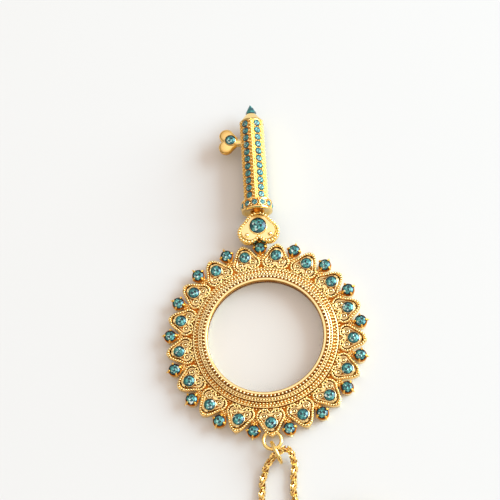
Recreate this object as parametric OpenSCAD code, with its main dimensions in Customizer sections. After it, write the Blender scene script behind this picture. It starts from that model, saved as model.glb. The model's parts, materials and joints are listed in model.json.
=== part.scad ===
// Key-shaped pendant magnifier: a lens in a ring of stone-set hearts, a heart link,
// a stone-set collar, a six-sided stone-set shank with a heart bit, and a rope chain.
// The pendant lies on its back: X runs across, Y along the shank, Z up.

/* [Lens] */
// Diameter of the glass
lens_d = 30; // [28:0.5:31]
// Thickness of the glass at its middle
lens_mid_t = 4; // [3.4:0.1:4.4]
// Thickness of the glass at its edge
lens_edge_t = 1.6; // [1.2:0.1:2]

/* [Lens ring] */
// Height of the ring from its back to the top of the lip
ring_h = 4.2; // [3.9:0.1:4.8]
// Thickness of the front lip over the glass
lip_t = 0.8; // [0.6:0.05:1]
// How far the lip reaches in over the glass
lip_reach = 1; // [0.7:0.1:1.4]
// Width of the milled band round the lip
milled_w = 1.1; // [0.8:0.1:1.3]
// Number of ribs on the milled band
milled_count = 105; // [80:1:120]
// Width of the beaded band outside the milled band
beaded_w = 1.3; // [1:0.1:1.5]
// Height of the beaded band
beaded_h = 1.2; // [0.9:0.1:1.3]
// Thickness of the pierced heart plate
plate_t = 2; // [1.6:0.1:2.3]
// Thickness of the snap ring behind the glass
retainer_t = 0.8; // [0.5:0.1:0.9]
// Opening of the snap ring, in degrees
retainer_gap = 12; // [6:1:30]

/* [Ring hearts] */
// Least gap between neighbouring hearts, which sets their number
heart_side_gap = 0.15; // [0.1:0.05:0.5]
// Width of one heart
heart_w = 7; // [6.2:0.1:7.2]
// Length of one heart from lobes to tip
heart_l = 6.8; // [6.2:0.1:7.2]
// Gap between the beaded band and the raised hearts
heart_gap = 0.1; // [0.05:0.05:0.4]
// Width of the raised border of a heart
border_w = 0.7; // [0.5:0.05:0.9]
// Height of the raised border above the plate
border_h = 1; // [0.6:0.05:1.2]
// Diameter of the stone in a heart
heart_stone_d = 2.6; // [2:0.05:2.7]
// Distance from the heart tip to its stone
heart_stone_in = 3.2; // [3:0.05:3.5]
// Diameter of the two small beads in a heart
heart_bead_d = 0.9; // [0.6:0.05:1]

/* [Claw settings] */
// How far inside the circle of the heart tips the claw-set stones lie
claw_in = 1.15; // [0.8:0.05:1.4]
// Diameter of a claw-set stone
claw_stone_d = 2.55; // [2:0.05:2.6]
// Diameter of one claw
claw_d = 0.54; // [0.4:0.02:0.6]
// Height of a claw above the plate
claw_h = 1.4; // [1.2:0.05:1.6]

/* [Heart link] */
// Width of the heart between ring and collar
link_w = 10.4; // [9.4:0.1:10.6]
// Length of that heart
link_l = 8.4; // [8:0.1:8.8]
// Thickness of its plate
link_t = 1.3; // [1:0.1:1.6]
// Gap between its cleft and the claws of the stone below it
link_cleft_gap = 0.12; // [0.12:0.02:0.4]
// Diameter of its stone
link_stone_d = 3.9; // [3.4:0.1:4.2]
// Distance from its tip to its stone
link_stone_in = 4.1; // [3.8:0.05:4.4]
// Diameter of its two beads
link_bead_d = 1.1; // [0.8:0.1:1.3]

/* [Collar] */
// Diameter of the collar over its stones
collar_d = 8.1; // [7.9:0.1:8.5]
// Length of the collar
collar_l = 2.8; // [2.6:0.1:3.4]
// Number of stones round the collar
collar_stones_n = 12; // [8:1:12]
// Diameter of a collar stone
collar_stone_d = 1.45; // [1.2:0.05:1.5]

/* [Shank] */
// Width of the six-sided shank across its flats
shank_flats = 5.9; // [5.7:0.1:6.2]
// Length of the shank
shank_l = 21.8; // [20:0.1:26]
// Number of stones along one face
shank_stones_n = 11; // [5:1:11]
// Diameter of a shank stone
shank_stone_d = 1.75; // [1.4:0.05:1.8]
// Length of the tapered cap
cap_l = 2.4; // [2:0.1:3]
// Diameter of the cap at its small end
cap_top_d = 2.9; // [2.7:0.1:3.2]
// Diameter of the pointed crystal
crystal_d = 2.7; // [2.2:0.1:2.8]
// Length of the pointed crystal
crystal_l = 3.1; // [2.4:0.1:3.6]

/* [Heart bit] */
// Width of the heart bit
bit_w = 6.7; // [6:0.1:7.2]
// Length of the heart bit
bit_l = 4.85; // [4.6:0.05:5.2]
// Thickness of the heart bit at its middle
bit_t = 2.4; // [2:0.1:2.8]
// Distance of the heart bit below the top of the shank
bit_down = 4.8; // [4:0.1:8]
// Diameter of the bit's stone
bit_stone_d = 2.5; // [2:0.1:2.6]

/* [Chain fittings] */
// Inner diameter of the flat eye on the ring
eye_inner_d = 3.35; // [3.3:0.05:3.6]
// Wire diameter of the flat eye
eye_wire_d = 0.85; // [0.7:0.05:0.9]
// Inner diameter of the jump ring
jump_inner_d = 4.2; // [4.15:0.05:4.6]
// Wire diameter of the jump ring
jump_wire_d = 0.9; // [0.8:0.05:0.95]
// Diameter of the chain
chain_d = 1.8; // [1.6:0.1:1.8]
// Inner diameter of the two small rings at the clasp
link_ring_inner_d = 3.1; // [3.05:0.05:3.2]
// Wire diameter of those rings
link_ring_wire_d = 0.6; // [0.5:0.05:0.6]

/* [Clasp] */
// Thickness of the clasp body
clasp_t = 1.8; // [1.6:0.05:1.85]
// Outer diameter of the hook
hook_d = 6; // [5.8:0.1:6.2]
// Width of the hook's metal
hook_w = 1.15; // [1:0.05:1.2]
// Thickness of the lever
lever_t = 0.8; // [0.6:0.05:0.85]
// Diameter of the rivet
rivet_d = 0.8; // [0.6:0.05:0.9]

/* [Hidden] */
$fn = 48;

gold = "goldenrod";
pale_gold = "gold";
glass = "aliceblue";
stone_blue = "cadetblue";
steel = "silver";
seat_gap = 0.02;
fit_gap = 0.05;

// Ring: radii from the glass outwards
lens_r = lens_d / 2;
bore_r = lens_r + fit_gap;
open_r = lens_r - lip_reach;
lip_r = bore_r + fit_gap;
milled_r = lip_r + milled_w;
beaded_in_r = milled_r + fit_gap;
beaded_out_r = beaded_in_r + beaded_w;
flange_w = 2.6;
flange_r = beaded_out_r + flange_w;
lip_z = ring_h - lip_t;

// Glass: both faces have one radius, and the front one meets the corner of the lip
face_rise = (lens_mid_t - lens_edge_t) / 2;
face_r = (lens_r * lens_r + face_rise * face_rise) / (2 * face_rise);
function face_drop(r) = face_r - sqrt(face_r * face_r - r * r);
lens_top_z = lip_z - seat_gap + face_drop(open_r);
lens_back_z = lens_top_z - lens_mid_t;
retainer_top_z = lens_back_z + face_drop(open_r) - seat_gap;
retainer_z = retainer_top_z - retainer_t;
retainer_r = bore_r + 0.35;
groove_r = retainer_r + fit_gap;

// Hearts: a lobe's radius is a little over a quarter of the heart's width
lobe_share = 0.27;
flank_bulge = 0.34;
function lobe_x(w) = (0.5 - lobe_share) * w;
function lobe_y(w, l) = l - lobe_share * w;
function cleft_y(w, l) = lobe_y(w, l) + sqrt(pow(lobe_share * w, 2) - pow(lobe_x(w), 2));
heart_step = 0.1;
heart_tip_r = beaded_out_r + heart_gap + heart_l - heart_step;
heart_stone_r = heart_tip_r - heart_stone_in;
heart_bead_out = 0.14;
heart_cup_wall = 0.25;
heart_cup_down = 0.1;
heart_hole_r = 0.8;
heart_edge_z = 0.75;
milled_h = 0.4;

// As many hearts as fit side by side, an odd number, so that a heart faces the eye
hearts_room = 2 * PI * (heart_tip_r - lobe_y(heart_w, heart_l)) / (heart_w + heart_side_gap);
heart_count = 2 * floor((hearts_room + 1) / 2) - 1;
pitch = 360 / heart_count;

// Stones: flat top, short edge and a pointed back, as shares of the diameter
table_share = 0.6;
crown_share = 0.14;
girdle_share = 0.04;
back_share = 0.42;
claw_hole_r = 0.5;
claw_edge_z = 0.85;
claw_cup_wall = 0.15;
claw_r = heart_tip_r - claw_in;
tab_r = claw_stone_d / 2 + claw_cup_wall;
tab_w = 1.6;
claw_at_r = claw_stone_d / 2 + claw_d / 2 + fit_gap / 2;

// Heart link: its lobes lie on the ring hearts round the claws of one stone
claws_end_r = claw_r + claw_at_r + claw_d / 2;
link_tip_y = claws_end_r + link_cleft_gap + cleft_y(link_w, link_l);
link_tip_cut = 0.22;
collar_y = link_tip_y - link_tip_cut;
link_z = plate_t + border_h;
link_top_z = link_z + link_t;
link_stone_y = link_tip_y - link_stone_in;
link_bead_x = lobe_x(link_w) + 0.48;
link_bead_y = link_tip_y - lobe_y(link_w, link_l) - 0.73;
link_hole_r = 1.5;
link_edge_z = 0.7;
link_cup_wall = 0.3;
link_cup_up = 0.1;
link_cup_r = link_stone_d / 2 + fit_gap + link_cup_wall;
link_border_h = 0.65;
bridge_w = 3.4;
bridge_gap = 0.12;
bridge_start_y = claws_end_r + bridge_gap;
bridge_end_y = link_stone_y + link_hole_r + 0.15;

// Shank and collar share one axis, which lies a collar's radius above the table
axis_z = collar_d / 2;
shank_y = collar_y + collar_l;
shank_end_y = shank_y + shank_l;
shank_corner_r = shank_flats / 2 / cos(30);
spigot_r = 2.4;
spigot_l = 2.1;
cap_end_y = shank_end_y + cap_l;
tip_y = cap_end_y + crystal_l;
cap_peg_r = 0.8;
cap_peg_l = 1.5;
shank_end_gap = 0.145;
shank_stone_margin = shank_end_gap + shank_stone_d / 2;
shank_stone_pitch = (shank_l - 2 * shank_stone_margin) / (shank_stones_n - 1);
collar_band_drop = 0.25;
collar_rim_drop = 0.18;
collar_rim_r = collar_d / 2 - collar_rim_drop;
collar_band_r = collar_d / 2 - collar_band_drop;
collar_rim_l = 0.55;
collar_bevel = 0.15;
collar_slope = 0.1;
collar_stone_z = collar_l / 2;
collar_stone_turn = -4;

// Heart bit: a domed heart on a short round neck at the shank's side
bit_y = shank_end_y - bit_down;
bit_tip_gap = 0.75;
bit_tip_x = -shank_flats / 2 - bit_tip_gap;
bit_turn = 84.9;
bit_neck_r = 0.95;
bit_neck_drop = 0.25;
bit_stone_in = 1.85;
bit_dome_r = 10;
bit_middle = 2.6;
bit_edge_z = bit_t / 2 + 0.2;
bit_hole_r = 0.8;
bit_cup_wall = 0.35;
bit_neck_l = 2.2;

// Eye and jump ring: the jump ring stands on edge and leans to the right
eye_r = (eye_inner_d + eye_wire_d) / 2;
eye_z = plate_t;
eye_in = 1.25;
eye_y = eye_in - heart_tip_r - eye_r;
jump_r = (jump_inner_d + jump_wire_d) / 2;
jump_z = jump_r + jump_wire_d / 2;
jump_lean = 22;
jump_hang_angle = 9.8;
jump_reach = 1.2;
jump_x = eye_r * sin(jump_hang_angle) + jump_reach * sin(jump_lean);
jump_y = eye_y - eye_r * cos(jump_hang_angle) - jump_reach * cos(jump_lean);

// The pendant is centred on the origin from the eye's edge to the crystal's point
middle_y = (tip_y + eye_y - eye_r - eye_wire_d / 2) / 2;

// Chain: the route through the jump ring, chosen by hand, left side first
run_route = [[-2.3, -53.2, 0.9], [-2.3, -51, 0.9], [-2.4, -48, 0.9], [-2.7, -45, 0.9],
             [-3.1, -42, 0.9], [-3.3, -38.5, 0.9], [-3.0, -35, 0.9], [-2.2, -32.2, 1.1],
             [-0.9, -30.0, 1.9], [0.85, -28.5, 2.7], [2.7, -27.7, 3.0], [4.0, -28.3, 2.6],
             [4.7, -30.2, 1.6], [4.6, -32.5, 1.0], [4.2, -35.5, 0.9], [4.2, -39, 0.9],
             [4.4, -43, 0.9], [4.4, -47, 0.9], [4.3, -51, 0.9], [4.3, -53.2, 0.9]];
left_tail_route = [[-2.3, -58.6, 3.1], [-2.3, -60.6, 2.5], [-2.3, -62.6, 1.5], [-2.3, -64.2, 1.0]];
right_tail_route = [[4.3, -58.8, 3.15], [4.9, -61.2, 3.1], [6.4, -64.2, 2.9], [8.2, -67.5, 2.2],
                    [9.5, -71.0, 1.3], [10.0, -74.3, 0.9], [9.2, -77.2, 0.9], [7.8, -78.8, 0.9]];

// Chain coils: in to the middle on the table, out again on top
coil_out_r = 13.2;
coil_pitch = 2.3;
coil_rise = 2.25;
coil_turn = 1800;
coil_rings = 24;
coil_sides = 6;
coil_lead = 1.8;
chain_sides = 8;
left_coil_x = -15.5;
right_coil_x = 17.5;
coil_y = -55;
chain_z = 0.9;

// Clasp: it lies along the shank's line, with its hook at the far end
hook_x = -2.3;
clasp_y = -79.2;
clasp_z = 1.15;
slot_end_x = 5.2;
hook_r = hook_d / 2;
hook_in_r = hook_r - hook_w;
rivet_x = 3.5;
rivet_y = 0.7;
neck_end_x = 6;
tongue_x = 7;
tongue_r = 1.5;
tongue_hole_r = 0.9;
tongue_t = 0.9;
slot_t = lever_t + 2 * fit_gap;
link_ring_r = (link_ring_inner_d + link_ring_wire_d) / 2;
link_ring_z = link_ring_r + link_ring_wire_d / 2;
end_ring_x = (hook_r + hook_in_r) / 2 + 0.15;
tail_ring_x = tongue_x + (tongue_r + tongue_hole_r) / 2 + 0.25;
chain_cap_l = 1.8;

// Cap eye: it lies flat, and clears the ring that passes through it on both sides
cap_eye_wire_d = 0.4;
cap_eye_clear = (link_ring_wire_d + cap_eye_wire_d) / 2 + fit_gap;
cap_eye_drop = link_ring_z - chain_z;
cap_eye_near = sqrt(max(pow(link_ring_r - cap_eye_clear, 2) - pow(cap_eye_drop, 2), 0));
cap_eye_far = sqrt(pow(link_ring_r + cap_eye_clear, 2) - pow(cap_eye_drop, 2));
cap_eye_out = (cap_eye_near + cap_eye_far) / 2;
cap_eye_r = (cap_eye_far - cap_eye_near) / 2;
cap_start = cap_eye_out + cap_eye_r;

// Moves a piece so that the pendant is centred on the origin
module placed() {
    translate([0, -middle_y, 0]) children();
}

// Puts a piece on the shank's axis, its own Z along the shank
module on_axis(y) {
    translate([0, y, axis_z]) rotate([-90, 0, 0]) children();
}

// Repeats a piece round the lens, its own Y outwards
module round_lens(r, first = 0) {
    for (i = [0 : heart_count - 1])
        rotate(first + i * pitch) translate([0, r, 0]) children();
}

// Puts a piece in the clasp's frame, its X from the hook's middle to the tail
module at_clasp() {
    translate([hook_x, clasp_y, clasp_z]) rotate(90) children();
}

// Half the angle between the two straight flanks of a heart
function heart_half_angle(w, l) =
    let (x = lobe_x(w), y = lobe_y(w, l)) atan(x / y) + asin(lobe_share * w / norm([x, y]));

// Outline of a heart, tip at the origin and lobes towards +Y, drawn in by inset.
// Its flanks bulge near the tip and run smoothly into the lobes.
function heart_points(w, l, inset = 0, steps = 12) =
    let (r = lobe_share * w, x = lobe_x(w), y = lobe_y(w, l), half = heart_half_angle(w, l),
         cleft_a = acos(x / r), tip = [0, inset / sin(half)],
         start = [x + (r - inset) * cos(half), y - (r - inset) * sin(half)],
         flank = [for (t = [0.12 : 0.11 : 0.9])
                  tip + t * (start - tip) + flank_bulge * t * pow(1 - t, 2) * norm(start - tip)
                  * [cos(half), -sin(half)]],
         arc = [for (i = [0 : steps]) let (a = -half + (180 - cleft_a + half) * i / steps)
                [x + (r - inset) * cos(a), y + (r - inset) * sin(a)]],
         cleft = inset == 0 ? [] : [for (i = [1 : 3]) let (a = -cleft_a - (180 - 2 * cleft_a) * i / 4)
                [inset * cos(a), cleft_y(w, l) + inset * sin(a)]],
         last = inset == 0 ? steps - 1 : steps)
    concat([tip], flank, arc, cleft, [for (i = [last : -1 : 0]) [-arc[i][0], arc[i][1]]],
           [for (i = [len(flank) - 1 : -1 : 0]) [-flank[i][0], flank[i][1]]]);

module heart(w, l, inset = 0) {
    polygon(heart_points(w, l, inset));
}

// A cut stone, its widest edge at z = 0 and its flat top up
module stone(d) {
    rotate_extrude($fn = 32)
        polygon([[0, -back_share * d], [d / 2, -girdle_share * d / 2], [d / 2, girdle_share * d / 2],
                 [table_share * d / 2, crown_share * d], [0, crown_share * d]]);
}

// Height of the ledge that carries a stone's back at radius hole_r, from the stone's edge
function ledge_drop(d, hole_r) = back_share * d * (1 - 2 * hole_r / d) + seat_gap;

// A round cup for a stone whose edge is edge_z above the cup's foot
module stone_cup(d, wall, h, hole_r, edge_z) {
    in_r = d / 2 + fit_gap;
    ledge_z = edge_z - ledge_drop(d, hole_r);
    rotate_extrude($fn = 32)
        polygon([[hole_r, 0], [in_r + wall, 0], [in_r + wall, h], [in_r, h], [in_r, ledge_z],
                 [hole_r, ledge_z]]);
}

// A small round-topped bead on a flat foot
module bead(d) {
    rotate_extrude($fn = 24) difference() {
        circle(d = d);
        translate([-d, -2 * d]) square([2 * d, 2 * d]);
        translate([-d, -d]) square([d, 2 * d]);
    }
}

module torus(r, wire_d) {
    rotate_extrude($fn = 64) translate([r, 0]) circle(d = wire_d, $fn = 32);
}

// Ring
module ring_section() {
    lip_round = lip_t / 2;
    polygon(concat([[bore_r, 0], [milled_r, 0], [milled_r, lip_z], [lip_r, lip_z]],
                   [for (a = [0 : 15 : 90]) [lip_r - lip_round + lip_round * cos(a),
                                             ring_h - lip_round + lip_round * sin(a)]],
                   [for (a = [90 : 15 : 180]) [open_r + lip_round + lip_round * cos(a),
                                               ring_h - lip_round + lip_round * sin(a)]],
                   [[open_r, lip_z], [bore_r, lip_z], [bore_r, retainer_top_z + fit_gap],
                    [groove_r, retainer_top_z + fit_gap], [groove_r, retainer_z - fit_gap],
                    [bore_r, retainer_z - fit_gap]]));
}

module ring_plate() {
    difference() {
        union() {
            circle(flange_r, $fn = 96);
            round_lens(heart_tip_r, pitch / 2) rotate(180) heart(heart_w, heart_l);
            round_lens(claw_r) circle(tab_r);
            round_lens(flange_r - 1) translate([-tab_w / 2, 0]) square([tab_w, claw_r - flange_r + 1]);
        }
        circle(groove_r + (milled_r - groove_r) / 2, $fn = 96);
        round_lens(heart_stone_r, pitch / 2) circle(heart_hole_r, $fn = 24);
        round_lens(claw_r) circle(claw_hole_r, $fn = 24);
    }
}

module ring_frame() color(gold) placed() {
    rotate_extrude($fn = 96) ring_section();
    linear_extrude(plate_t) ring_plate();
    translate([-bridge_w / 2, claw_r + tab_r / 2, 0])
        cube([bridge_w, bridge_start_y - claw_r, plate_t]);
    translate([-bridge_w / 2, bridge_start_y, 0])
        cube([bridge_w, bridge_end_y - bridge_start_y, link_z]);
}

module milled_band() color(pale_gold) placed() {
    rib = 360 / milled_count;
    root_r = lip_r + 0.3 * milled_w;
    translate([0, 0, lip_z]) linear_extrude(milled_h) difference() {
        polygon([for (i = [0 : milled_count - 1], k = [0 : 3])
                 let (a = (i + k / 4) * rib, r = k < 2 ? milled_r : root_r) [r * cos(a), r * sin(a)]]);
        circle(lip_r + seat_gap, $fn = 96);
    }
}

module beaded_band() color(pale_gold) placed() {
    round_r = beaded_w / 2;
    rotate_extrude($fn = 96)
        polygon(concat([[beaded_in_r, plate_t], [beaded_out_r, plate_t]],
                       [for (a = [0 : 15 : 180]) [beaded_in_r + round_r + round_r * cos(a),
                                                  plate_t + beaded_h - round_r + round_r * sin(a)]]));
}

module lens() color(glass) placed() {
    rotate_extrude($fn = 96) intersection() {
        translate([0, lens_top_z - face_r]) circle(face_r, $fn = 1440);
        translate([0, lens_back_z + face_r]) circle(face_r, $fn = 1440);
        translate([0, lens_back_z - 1]) square([lens_r, lens_mid_t + 2]);
    }
}

module lens_retainer() color(pale_gold) placed() {
    rotate(-90 + retainer_gap / 2) rotate_extrude(angle = 360 - retainer_gap, $fn = 96)
        translate([open_r, retainer_z]) square([retainer_r - open_r, retainer_t]);
}

module heart_settings() color(gold) placed() {
    cup_r = heart_stone_d / 2 + fit_gap + heart_cup_wall;
    translate([0, 0, plate_t]) round_lens(heart_tip_r, pitch / 2) rotate(180) {
        linear_extrude(border_h) difference() {
            heart(heart_w - heart_step, heart_l - heart_step);
            heart(heart_w - heart_step, heart_l - heart_step, border_w);
            translate([0, heart_stone_in]) circle(cup_r - heart_cup_wall / 2, $fn = 32);
        }
        translate([0, heart_stone_in, 0])
            stone_cup(heart_stone_d, heart_cup_wall, border_h - heart_cup_down, heart_hole_r,
                      heart_edge_z);
        for (side = [-1, 1])
            translate([side * (lobe_x(heart_w) + heart_bead_out),
                       lobe_y(heart_w, heart_l) + heart_bead_out, 0])
                bead(heart_bead_d);
    }
}

module heart_stones() color(stone_blue) placed() {
    translate([0, 0, plate_t + heart_edge_z]) round_lens(heart_stone_r, pitch / 2) stone(heart_stone_d);
}

module claw_settings() color(gold) placed() {
    translate([0, 0, plate_t]) round_lens(claw_r) {
        stone_cup(claw_stone_d, claw_cup_wall, claw_edge_z + fit_gap, claw_hole_r, claw_edge_z);
        for (a = [0 : 90 : 270])
            rotate(a) translate([claw_at_r, 0, 0]) cylinder(d = claw_d, h = claw_h, $fn = 20);
    }
}

module claw_stones() color(stone_blue) placed() {
    translate([0, 0, plate_t + claw_edge_z]) round_lens(claw_r) stone(claw_stone_d);
}

// Heart link
module link_outline(inset = 0) {
    difference() {
        translate([0, link_tip_y]) rotate(180) heart(link_w, link_l, inset);
        translate([-link_w, collar_y]) square([2 * link_w, link_l]);
    }
}

module link_heart() color(gold) placed() {
    translate([0, 0, link_z]) linear_extrude(link_t) difference() {
        link_outline();
        translate([0, link_stone_y]) circle(link_hole_r);
    }
    translate([0, link_stone_y, link_top_z])
        stone_cup(link_stone_d, link_cup_wall, link_edge_z + link_cup_up, link_hole_r, link_edge_z);
    for (side = [-1, 1])
        translate([side * link_bead_x, link_bead_y, link_top_z]) bead(link_bead_d);
}

module link_border() color(pale_gold) placed() {
    translate([0, 0, link_top_z]) linear_extrude(link_border_h) difference() {
        link_outline();
        link_outline(border_w);
        translate([0, link_stone_y]) circle(link_cup_r + seat_gap);
    }
}

module link_stone() color(stone_blue) placed() {
    translate([0, link_stone_y, link_top_z + link_edge_z]) stone(link_stone_d);
}

// Collar
module round_collar(r, z) {
    for (i = [0 : collar_stones_n - 1])
        rotate(collar_stone_turn + i * 360 / collar_stones_n)
            translate([0, r, z]) rotate([-90, 0, 0]) children();
}

module collar() color(gold) placed() on_axis(collar_y) {
    bore = spigot_r + fit_gap;
    pocket_depth = back_share * collar_stone_d + fit_gap;
    difference() {
        rotate_extrude($fn = 64)
            polygon([[0, 0], [collar_rim_r - collar_bevel, 0], [collar_rim_r, collar_bevel],
                     [collar_rim_r, collar_rim_l], [collar_band_r, collar_rim_l + collar_slope],
                     [collar_band_r, collar_l - collar_rim_l - collar_slope],
                     [collar_rim_r, collar_l - collar_rim_l],
                     [collar_rim_r, collar_l - collar_bevel], [collar_rim_r - collar_bevel, collar_l],
                     [bore, collar_l],
                     [bore, collar_l - spigot_l - fit_gap], [0, collar_l - spigot_l - fit_gap]]);
        round_collar(collar_band_r - pocket_depth, collar_stone_z)
            cylinder(d = collar_stone_d + 2 * fit_gap, h = pocket_depth + 1, $fn = 20);
    }
}

module collar_stones() color(stone_blue) placed() on_axis(collar_y) {
    round_collar(collar_band_r, collar_stone_z) stone(collar_stone_d);
}

// Shank: stones on the two front and the two back faces
module along_faces(r) {
    for (a = [60, 120, 240, 300], i = [0 : shank_stones_n - 1])
        rotate(a) translate([r, 0, shank_stone_margin + i * shank_stone_pitch])
            rotate([0, 90, 0]) children();
}

module shank() color(gold) placed() on_axis(shank_y) {
    pocket_depth = back_share * shank_stone_d + fit_gap;
    difference() {
        union() {
            rotate(30) cylinder(r = shank_corner_r, h = shank_l, $fn = 6);
            translate([0, 0, -spigot_l]) cylinder(r = spigot_r, h = spigot_l + 1);
        }
        along_faces(shank_flats / 2 - pocket_depth)
            cylinder(d = shank_stone_d + 2 * fit_gap, h = pocket_depth + 1, $fn = 20);
        translate([0, 0, shank_l - cap_peg_l - fit_gap])
            cylinder(r = cap_peg_r + fit_gap, h = cap_peg_l + 1, $fn = 24);
    }
}

module shank_stones() color(stone_blue) placed() on_axis(shank_y) {
    along_faces(shank_flats / 2 + fit_gap) stone(shank_stone_d);
}

module shank_cap() color(gold) placed() on_axis(shank_end_y) {
    intersection() {
        rotate(30) cylinder(r = shank_corner_r, h = cap_l, $fn = 6);
        cylinder(r1 = shank_corner_r + fit_gap, r2 = cap_top_d / 2, h = cap_l);
    }
    translate([0, 0, -cap_peg_l]) cylinder(r = cap_peg_r, h = cap_peg_l + 0.5, $fn = 24);
}

module tip_crystal() color(stone_blue) placed() on_axis(cap_end_y) {
    rotate_extrude($fn = 8)
        polygon([[0, 0], [0.4 * crystal_d, 0], [0.5 * crystal_d, 0.12 * crystal_l],
                 [0.48 * crystal_d, 0.3 * crystal_l], [0, crystal_l]]);
}

// Heart bit
module at_bit() {
    translate([bit_tip_x, bit_y, axis_z]) rotate(bit_turn) children();
}

module bit_heart() color(gold) placed() {
    difference() {
        union() {
            at_bit() intersection() {
                translate([0, 0, -bit_t / 2]) linear_extrude(bit_t) heart(bit_w, bit_l);
                translate([0, bit_middle, bit_t / 2 - bit_dome_r]) sphere(bit_dome_r, $fn = 128);
                translate([0, bit_middle, bit_dome_r - bit_t / 2]) sphere(bit_dome_r, $fn = 128);
            }
            at_bit() translate([0, bit_stone_in, 0])
                cylinder(d = bit_stone_d + 2 * bit_cup_wall, h = bit_edge_z + fit_gap, $fn = 32);
            translate([-shank_flats / 2, bit_y - bit_neck_drop, axis_z]) rotate([0, -90, 0])
                cylinder(r = bit_neck_r, h = bit_neck_l, $fn = 24);
        }
        at_bit() translate([0, bit_stone_in, 0]) {
            translate([0, 0, bit_edge_z - ledge_drop(bit_stone_d, bit_hole_r)])
                cylinder(d = bit_stone_d + 2 * fit_gap, h = bit_t, $fn = 32);
            translate([0, 0, bit_edge_z - back_share * bit_stone_d - fit_gap])
                cylinder(r = bit_hole_r, h = bit_t, $fn = 24);
        }
    }
}

module bit_stone() color(stone_blue) placed() {
    at_bit() translate([0, bit_stone_in, bit_edge_z]) stone(bit_stone_d);
}

// Eye and jump ring
module chain_eye() color(gold) placed() {
    difference() {
        translate([0, eye_y, eye_z]) torus(eye_r, eye_wire_d);
        translate([0, -heart_tip_r, 0]) linear_extrude(2 * plate_t) heart(heart_w, heart_l);
    }
}

module jump_ring() color(gold) placed() {
    translate([jump_x, jump_y, jump_z]) rotate(jump_lean - 90) rotate([90, 0, 0])
        torus(jump_r, jump_wire_d);
}

// Chain: a round tube swept along points
function unit(v) = v / norm(v);
function spline_point(a, b, c, d, t) =
    0.5 * (2 * b + (c - a) * t + (2 * a - 5 * b + 4 * c - d) * t * t
           + (3 * b - a - 3 * c + d) * t * t * t);
function smooth(route, steps) =
    let (last = len(route) - 1)
    concat([for (i = [0 : last - 1], k = [0 : steps - 1])
            spline_point(route[max(i - 1, 0)], route[i], route[i + 1], route[min(i + 2, last)], k / steps)],
           [route[last]]);
function ring_points(path, i, sides) =
    let (last = len(path) - 1, along = unit(path[min(i + 1, last)] - path[max(i - 1, 0)]),
         side = unit(cross(along, [0, 0, 1])), up = cross(side, along))
    [for (k = [0 : sides - 1]) let (a = 90 + 360 * k / sides)
     path[i] + chain_d / 2 * (cos(a) * side + sin(a) * up)];

module tube(path, sides) {
    rings = len(path);
    last = (rings - 1) * sides;
    polyhedron(
        [for (i = [0 : rings - 1]) each ring_points(path, i, sides)],
        concat([for (i = [0 : rings - 2], k = [0 : sides - 1])
                let (a = i * sides + k, b = i * sides + (k + 1) % sides)
                each [[a, b, b + sides], [a, b + sides, a + sides]]],
               [for (k = [1 : sides - 2]) [0, k + 1, k]],
               [for (k = [1 : sides - 2]) [last, last + k, last + k + 1]]));
}

// Coil: spirals in on the table, climbs as it turns back, and spirals out on top
function coil_point(middle_x, side, a) =
    let (half = coil_turn / 2, r = coil_out_r - coil_pitch * min(a, coil_turn - a) / 360,
         t = min(max((a - half + 90) / 180, 0), 1))
    [middle_x + side * r * cos(a), coil_y - r * sin(a), chain_z + coil_rise * t * t * (3 - 2 * t)];
function coil_end(middle_x, side) = coil_point(middle_x, side, coil_turn) - [0, coil_lead, 0];
function coil_path(middle_x, side) =
    let (steps = coil_turn / 360 * coil_rings)
    concat([coil_point(middle_x, side, 0) + [0, coil_lead, 0]],
           [for (i = [0 : steps]) coil_point(middle_x, side, i * coil_turn / steps)],
           [coil_end(middle_x, side)]);
function least_gap(path) =
    min([for (i = [0 : len(path) - 1], j = [i + 12 : 1 : len(path) - 1]) norm(path[i] - path[j])]) - chain_d;
echo(least_coil_gap = least_gap(coil_path(left_coil_x, 1)));

// Straight end of a tail, so that it meets its neighbour squarely
function straight(p, way, last = false) =
    last ? [p + coil_lead * way, p + coil_lead / 2 * way, p] : [p, p + coil_lead / 2 * way];

module chain_run() color(pale_gold) placed() {
    tube(smooth(run_route, 2), chain_sides);
}

module chain_left_coil() color(pale_gold) placed() {
    tube(coil_path(left_coil_x, 1), coil_sides);
}

module chain_right_coil() color(pale_gold) placed() {
    tube(coil_path(right_coil_x, -1), coil_sides);
}

module chain_left_tail() color(pale_gold) placed() {
    start = coil_end(left_coil_x, 1);
    end = [hook_x, clasp_y + tail_ring_x + cap_start + chain_cap_l, chain_z];
    tube(smooth(concat(straight(start, [0, -1, 0]), left_tail_route, straight(end, [0, 1, 0], true)), 2),
         chain_sides);
}

module chain_right_tail() color(pale_gold) placed() {
    start = coil_end(right_coil_x, -1);
    end = [hook_x + end_ring_x + cap_start + chain_cap_l, clasp_y, chain_z];
    tube(smooth(concat(straight(start, [0, -1, 0]), right_tail_route, straight(end, [1, 0, 0], true)), 2),
         chain_sides);
}

// Chain ends: a cap with a flat eye, which the small ring passes through
module chain_end_cap() {
    translate([cap_eye_out, 0, chain_z - clasp_z]) {
        torus(cap_eye_r, cap_eye_wire_d);
        translate([cap_eye_r, 0, 0]) rotate([0, 90, 0])
            cylinder(r1 = 0.35 * chain_d, r2 = chain_d / 2, h = chain_cap_l, $fn = 24);
    }
}

module small_ring() {
    translate([0, 0, link_ring_z - clasp_z]) rotate([90, 0, 0]) torus(link_ring_r, link_ring_wire_d);
}

module chain_left_cap() color(gold) placed() {
    at_clasp() translate([tail_ring_x, 0, 0]) chain_end_cap();
}

module chain_right_cap() color(gold) placed() {
    at_clasp() rotate(-90) translate([end_ring_x, 0, 0]) chain_end_cap();
}

module clasp_tail_ring() color(gold) placed() {
    at_clasp() translate([tail_ring_x, 0, 0]) small_ring();
}

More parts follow.
